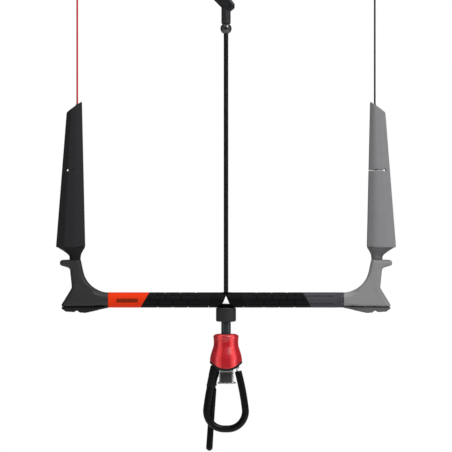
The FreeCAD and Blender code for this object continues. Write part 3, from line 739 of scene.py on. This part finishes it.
def badge_relief(x, angle):
    """A plain sunk panel on the front of the left grip, with fine bars in it."""
    height = math.sin(angle) * GRIP_RADIUS
    inside = smoothstep(138.6, 139.4, x) * (1 - smoothstep(172.6, 173.4, x))
    inside *= smoothstep(-4.4, -3.6, height) * (1 - smoothstep(2.2, 3.0, height))
    inside *= math.cos(angle) > 0
    return inside * (0.9 + 0.1 * math.cos(2 * math.pi * x / 3.4))


def grip_mesh(name, side, start, end, relief, step):
    """A grip between its two ends, sunk where the relief says so."""
    spans = int(100 / step)
    rings = []
    for i in range(spans + 1):
        ring = []
        for k in range(GRIP_SIDES):
            angle = 2 * math.pi * k / GRIP_SIDES
            height = math.sin(angle) * GRIP_RADIUS
            low, high = start(height), end(height)
            x = low + (high - low) * i / spans
            edge = min(x - low, high - x)
            sunk = RELIEF * relief(x, angle)
            radius = GRIP_RADIUS - sunk - 0.25 * (1 - smoothstep(0.0, 0.9, edge))
            ring.append(spot(side * x, -math.cos(angle) * radius, math.sin(angle) * radius))
        rings.append(ring)
    return loft(name, rings)


def grip_foam(name, light, dark, groove):
    """Moulded EVA: dull and finely pored, with painted shade that darkens its colour the deeper a point lies
    in a groove, a sunk panel or at a rounded end.
    """
    material, tree, shader, coords = start_material(name, light, 0.66, Specular_IOR_Level=0.05)
    tone = mottle(tree, shader, coords, light, dark, 8, 0.56, 0.72)
    # Painted shade: the deeper a point lies below the grip's full radius, the nearer its colour comes to the
    # groove colour
    axes = add(tree, "ShaderNodeSeparateXYZ", {"Vector": coords})
    up = add(tree, "ShaderNodeMath", {0: axes.outputs[2], 1: BAR_HEIGHT}, operation="SUBTRACT")
    flat = add(tree, "ShaderNodeCombineXYZ", {"Y": axes.outputs[1], "Z": up.outputs[0]})
    radius = add(tree, "ShaderNodeVectorMath", {0: flat.outputs[0]}, operation="LENGTH")
    depth = add(tree, "ShaderNodeMapRange", {
        "Value": radius.outputs["Value"],
        "From Min": (GRIP_RADIUS - RELIEF) * MM, "From Max": (GRIP_RADIUS - 0.1) * MM})
    groove_shaded = add(tree, "ShaderNodeMix", {0: depth.outputs[0], 7: tone.outputs[2]}, data_type="RGBA")
    groove_shaded.inputs[6].default_value = srgb(groove)
    tree.links.new(groove_shaded.outputs[2], shader.inputs["Base Color"])
    pores = add(tree, "ShaderNodeTexVoronoi", {"Vector": coords, "Scale": 1 / (0.7 * MM)})
    grain(tree, shader, pores.outputs["Distance"], 0.06, 0.5)
    return material


# The last colour of each grip is the painted shade in its grooves
grip_black = grip_foam("grip_eva_black", "141416", "0f0f11", "060607")
grip_orange = grip_foam("grip_eva_orange", "d63410", "c02c0c", "5e200c")
grip_grey = grip_foam("grip_eva_lilac_grey", "424247", "3a3a3f", "19191c")
for side, word in ((-1, "left"), (1, "right")):
    inner = grip_mesh("grip_ribbed_" + word, side, hub_x, seam_x, rib_relief, 1.0)
    inner.data.materials.append(grip_black)
    relief = badge_relief if side < 0 else outer_relief
    outer = grip_mesh("grip_smooth_" + word, side, seam_x, lambda height: GRIP_END, relief, 1.4)
    outer.data.materials.append(grip_orange if side < 0 else grip_grey)
    for piece, node, slot in ((inner, "grip_inner_", "grip_black"),
                              (outer, "grip_outer_", "grip_orange" if side < 0 else "grip_grey")):
        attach(piece, "bar")
        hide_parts(node + word)

# ---------------------------------------------------------------- release sleeve
# The quick release is a bell of glossy red polyurethane, pushed up to let go. Soft flutes
# run down it, its skirt hangs lower in front and behind, and a black rim edges it.
sleeve_profile = [  # height and radius, before the flutes
    (-53.8, 15.8), (-54.6, 18.4), (-57.0, 20.6), (-61.0, 20.0), (-66.4, 19.5), (-72.8, 20.0),
    (-79.0, 22.0), (-85.4, 24.0), (-91.7, 25.4), (-98.0, 25.7), (-106.0, 25.6), (-112.0, 25.6)]
SLEEVE_WALL = 2.0
SLEEVE_TRIM = 0.45     # taken off all round, so that the flutes stay inside the profile
FLUTES = 6
FLUTE_DEPTH = 0.25
RIM_BAND = 3.4
SKIRT_DIP = 11.0       # how much lower the skirt hangs in front and behind than at the sides
BELL_SIDES = 128


def sleeve_radius(height, angle):
    """The bell's outside, with its flutes and the fine mould rings round its neck."""
    for (low_z, low_r), (high_z, high_r) in zip(sleeve_profile[1:], sleeve_profile):
        if height >= low_z:
            break
    share = min(1.0, max(0.0, (height - low_z) / (high_z - low_z)))
    radius = low_r + (high_r - low_r) * share
    flute = -FLUTE_DEPTH * (1 - smoothstep(-68, -58, height)) * math.cos(FLUTES * angle)
    rings = 0.06 * math.cos(2 * math.pi * height / 2.4)
    rings *= (1 - smoothstep(-63, -60, height)) * smoothstep(-79, -74, height)
    return radius + flute - rings - SLEEVE_TRIM


def skirt_edge(angle):
    return -111 + SKIRT_DIP * math.sin(angle) ** 2


def rim_edge(angle):
    return skirt_edge(angle) + RIM_BAND


def bell(name, top_of, bottom_of, swell, rows):
    """A wall between two edges of the sleeve, outside skin first and then the inside."""
    rings = []
    for wall in (0.0, SLEEVE_WALL):
        for i in range(rows + 1):
            share = i / rows if wall == 0.0 else 1 - i / rows
            ring = []
            for k in range(BELL_SIDES):
                angle = 2 * math.pi * k / BELL_SIDES
                top, bottom = top_of(angle), bottom_of(angle)
                height = top + (bottom - top) * share
                edge = min(share, 1 - share) * abs(top - bottom)
                radius = sleeve_radius(height, angle) - wall + swell * (1 if wall == 0.0 else -1)
                radius -= (0.5 if wall == 0.0 else -0.5) * (1 - smoothstep(0, 0.8, edge))
                ring.append(spot(math.sin(angle) * radius, -math.cos(angle) * radius, height))
            rings.append(ring)
    return loft(name, rings, closed_along=True)


def glossy_urethane(name, light, dark, painted_highlight):
    """Clear red polyurethane whose colour is lightened in six vertical bands round it, a painted highlight
    over the flutes' ridges.
    """
    material, tree, shader, coords = start_material(
        name, light, 0.26, Subsurface_Weight=0.3, Specular_IOR_Level=0.5)
    shader.inputs["Subsurface Radius"].default_value = (0.006, 0.0012, 0.001)
    shader.inputs["Subsurface Scale"].default_value = 0.6
    tone = mottle(tree, shader, coords, light, dark, 18, 0.22, 0.32)
    # Painted highlight: the colour is mixed towards the lighter red in six vertical bands round the bell
    axes = add(tree, "ShaderNodeSeparateXYZ", {"Vector": coords})
    angle = add(tree, "ShaderNodeMath", {0: axes.outputs[0], 1: axes.outputs[1]}, operation="ARCTAN2")
    flutes = add(tree, "ShaderNodeMath", {0: angle.outputs[0], 1: FLUTES}, operation="MULTIPLY")
    wave = add(tree, "ShaderNodeMath", {0: flutes.outputs[0]}, operation="COSINE")
    highlight_share = add(tree, "ShaderNodeMapRange", {
        "Value": wave.outputs[0], "From Min": 0.1, "From Max": -1.0, "To Min": 0.0, "To Max": 0.75})
    lit = add(tree, "ShaderNodeMix", {0: highlight_share.outputs[0], 6: tone.outputs[2]}, data_type="RGBA")
    lit.inputs[7].default_value = srgb(painted_highlight)
    tree.links.new(lit.outputs[2], shader.inputs["Base Color"])
    ripple = add(tree, "ShaderNodeTexNoise", {"Vector": coords, "Scale": 1 / (14 * MM), "Detail": 0.0})
    grain(tree, shader, ripple.outputs[0], 0.2, 0.3)
    return material


# The last colour is the painted highlight of the bell's six bands
sleeve_red = glossy_urethane("urethane_glossy_red", "b41a24", "98141e", "f04a4e")
rim_black = rubber("rim_rubber_black", "1c1c1d", "131314", 0.5)
sleeve = bell("sleeve_bell", lambda angle: sleeve_profile[0][0], rim_edge, 0.0, 60)
sleeve.data.materials.append(sleeve_red)
rim = bell("sleeve_rim_band", rim_edge, skirt_edge, 0.25, 10)
rim.data.materials.append(rim_black)
for piece, node, slot in ((sleeve, "release_sleeve", "sleeve_red"), (rim, "sleeve_rim", "rim")):
    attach(piece, "sleeve")
    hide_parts(node)

# ---------------------------------------------------------------- harness loop
# A thick urethane tube over a rope core, bent to a pear shape. One leg is fast under a
# cuff, the other ends in a ring on the latch. On the real loop that leg swings out when the
# sleeve goes up; here both legs are one tube, fixed in place.
LOOP_RADIUS = 5.6
LOOP_BOTTOM = -203.8
LOOP_FLAT = 2.7        # half the flat run at the bottom
LOOP_CORNER = 28.0     # radius of the lower corners
LOOP_SIDE = 420.0      # radius of the long sides


def loop_leg(sign, turn_end):
    """One leg from the middle of the bottom to its top, for the side that sign gives."""
    corner = Vector((LOOP_FLAT, LOOP_BOTTOM + LOOP_CORNER))
    corner_end = math.radians(6.7)
    points = [corner + LOOP_CORNER * Vector((math.cos(a), math.sin(a)))
              for a in (-math.pi / 2 + (corner_end + math.pi / 2) * k / 26 for k in range(27))]
    heading = Vector((math.cos(corner_end), math.sin(corner_end)))
    side_centre = points[-1] - LOOP_SIDE * heading
    points += [side_centre + LOOP_SIDE * Vector((math.cos(a), math.sin(a)))
               for a in (corner_end + (math.radians(turn_end) - corner_end) * k / 22 for k in range(1, 23))]
    return [spot(sign * p.x, 0, p.y) for p in points]


def urethane_tube(name, light, dark, rough, shine, ripple_mm=0.15):
    """Extruded polyurethane: smooth and a little glossy, with a slow ripple."""
    material, tree, shader, coords = start_material(name, light, rough, Specular_IOR_Level=shine)
    mottle(tree, shader, coords, light, dark, 12, rough - 0.06, rough + 0.1)
    ripple = add(tree, "ShaderNodeTexNoise", {"Vector": coords, "Scale": 1 / (8 * MM), "Detail": 1.0})
    grain(tree, shader, ripple.outputs[0], ripple_mm, 0.3)
    return material


loop_black = urethane_tube("urethane_tube_black", "0a0a0b", "060607", 0.36, 0.12)
loop_path = loop_leg(-1, 15.8)[::-1] + loop_leg(1, 15.0)
loop = tube_mesh("harness_loop_tube", loop_path, LOOP_RADIUS * MM, 40)
loop.data.materials.append(loop_black)
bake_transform(loop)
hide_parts("loop_fixed_leg", "loop_free_leg")

# The cuff that clamps the fixed leg has a chamfered top and a step near its lower end
cuff_black = rubber("cuff_rubber_black", "141415", "0e0e0f", 0.55)
cuff_top, cuff_bottom = spot(-16.3, 0, -104.6), spot(-21.9, 0, -128.6)
cuff_path = [cuff_top.lerp(cuff_bottom, k / 40) for k in range(41)]


def cuff_radius(share):
    return MM * (8.0 - 0.5 * smoothstep(0.62, 0.66, share) - 1.2 * (1 - smoothstep(0, 0.06, share)))


cuff = tube_mesh("loop_cuff_stepped", cuff_path, cuff_radius, 40)
cuff.data.materials.append(cuff_black)
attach(cuff, "release")
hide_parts("loop_cuff")

# The safety finger is a length of the same tube, hung on a pin by an eye and a web
finger_top, finger_tip = spot(-20.1, 13.0, -137.8), spot(-26.7, 11.5, -239.6)
finger_path = [finger_top.lerp(finger_tip, k / 60) for k in range(61)]


def finger_radius(share):
    """Slightly waisted, with round ends."""
    to_end = min(share, 1 - share) * 102
    tip = math.sqrt(max(0.01, 1 - max(0.0, 1 - to_end / 5.0) ** 2))
    return MM * 5.3 * tip * (1 - 0.06 * math.sin(math.pi * share))


finger = tube_mesh("safety_finger_tube", finger_path, finger_radius, 40)
eye = tube_mesh("safety_finger_eye", [spot(x, 13.4, -133) for x in (-22.0, -21.7, -17.7, -17.4)],
                lambda share: MM * (2.9 - 0.3 * abs(round(2 * share - 1))), 32)
web = brick("safety_finger_web", (-22.0, 11.4, -140), (-17.4, 15.4, -133))
for piece in (finger, eye, web):
    piece.data.materials.append(loop_black)
    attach(piece, "finger")
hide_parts("safety_finger")

# ---------------------------------------------------------------- CAD parts that keep their shape
# Machined, turned and moulded parts whose CAD shape is the real shape: the hub, swivel,
# stopper, cleat, pins, spring and frame. Each gets the finish of what it is made of.


def dress(material, *names):
    """Give CAD parts one finish."""
    for name in names:
        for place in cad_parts[name].material_slots:
            place.material = material


def worked_metal(name, light, rough, scratch_mm):
    """Bare or anodised metal: a sharp glint, broken by fine turning or brushing lines."""
    material, tree, shader, coords = start_material(name, light, rough, metallic=1.0)
    stretched = add(tree, "ShaderNodeMapping", {"Vector": coords, "Scale": (1.0, 1.0, 14.0)})
    lines = add(tree, "ShaderNodeTexNoise",
                {"Vector": stretched.outputs[0], "Scale": 1 / (scratch_mm * MM), "Detail": 3.0})
    spread = add(tree, "ShaderNodeMapRange", {
        "Value": lines.outputs[0], "From Min": 0.3, "From Max": 0.7,
        "To Min": rough - 0.08, "To Max": rough + 0.12})
    tree.links.new(spread.outputs[0], shader.inputs["Roughness"])
    grain(tree, shader, lines.outputs[0], 0.02, 0.4)
    return material


def depth_lines(material, pitch_mm, deep_mm):
    """Fine horizontal mould lines on a finished material."""
    tree = material.node_tree
    shader = tree.nodes["Principled BSDF"]
    coords = add(tree, "ShaderNodeTexCoord").outputs["Object"]
    wave = add(tree, "ShaderNodeTexWave", {"Vector": coords, "Scale": 1 / (pitch_mm * MM) / WAVE_BANDS},
               wave_type="BANDS", bands_direction="Z")
    grain(tree, shader, wave.outputs[1], deep_mm, 0.7)
    return material


# Polished wire and plate glint; turned and pressed steel is duller
steel_bright = worked_metal("stainless_steel_polished", "f2f2f0", 0.22, 3.0)
steel_satin = worked_metal("stainless_steel_satin", "c9c9c8", 0.34, 1.2)
# Anodised black: a dark metal that only shines where it faces a lamp
alloy_core = worked_metal("metal_black_anodised", "2c2c2e", 0.42, 2.0)
alloy_cleat = worked_metal("aluminium_anodised_dark", "38393b", 0.4, 2.0)
# Moulded nylon, from the hub's dull black to the stopper's polished grey
hub_nylon = moulded_nylon("hub_nylon_black", "0b0b0b", "080808", 0.6, 0.06)
cup_nylon = moulded_nylon("cup_nylon_dark_grey", "262627", "1f1f20", 0.48)
ball_nylon = moulded_nylon("stopper_nylon_grey", "2e2e30", "262628", 0.28, 0.7)
stem_nylon = moulded_nylon("stem_nylon_grey", "28282a", "212123", 0.4, 0.35)
block_nylon = depth_lines(moulded_nylon("core_block_nylon", "3c3c3e", "323234", 0.5), 2.2, 0.25)
# Wet-looking neck cover, smooth depower tube and matt rubber sheaths
neck_gloss = urethane_tube("neck_urethane_glossy", "303638", "262c2e", 0.22, 0.5)
tube_gloss = urethane_tube("depower_urethane_black", "0e0e0f", "09090a", 0.34, 0.3, 0.02)
sheath_black = rubber("sheath_rubber_black", "1d1d1e", "151516", 0.6)
# Matt white inlay in the hub, and the grey rope of the front and depower lines
mark_white = moulded_nylon("mark_print_white", "f4f4f4", "e6e6e6", 0.4)
rope_grey = braided_line("front_rope_braided", "8d8f92", "6b6d70")
dress(steel_bright, "release_frame", "latch_pin", "loop_anchor_pin", "latch_hinge_pin")
dress(steel_satin, "line_ferrule", "front_line_thimble", "swivel_shaft", "bearing_lower_race",
      "bearing_upper_race", "bearing_balls", "end_screws", "leader_anchors", "release_spring",
      "loop_end_ring")
dress(alloy_core, "bar_core_left", "bar_core_right", "finger_pin", "hub_screws",
      "stopper_ball_screw", "cleat_screws")
dress(alloy_cleat, "cleat_housing", "cleat_jaw")
dress(hub_nylon, "hub_front", "hub_back", "guide_bush")
dress(cup_nylon, "swivel_cup", "swivel_cap")
dress(ball_nylon, "stopper_ball")
dress(stem_nylon, "cleat_stem")
dress(block_nylon, "release_core")
dress(neck_gloss, "neck_cover")
dress(tube_gloss, "depower_tube")
dress(rope_grey, "depower_lines", "front_line")
dress(sheath_black, "leader_sheath_left", "leader_sheath_right")
dress(cuff_black, "finger_collar")
dress(mark_white, "hub_mark")
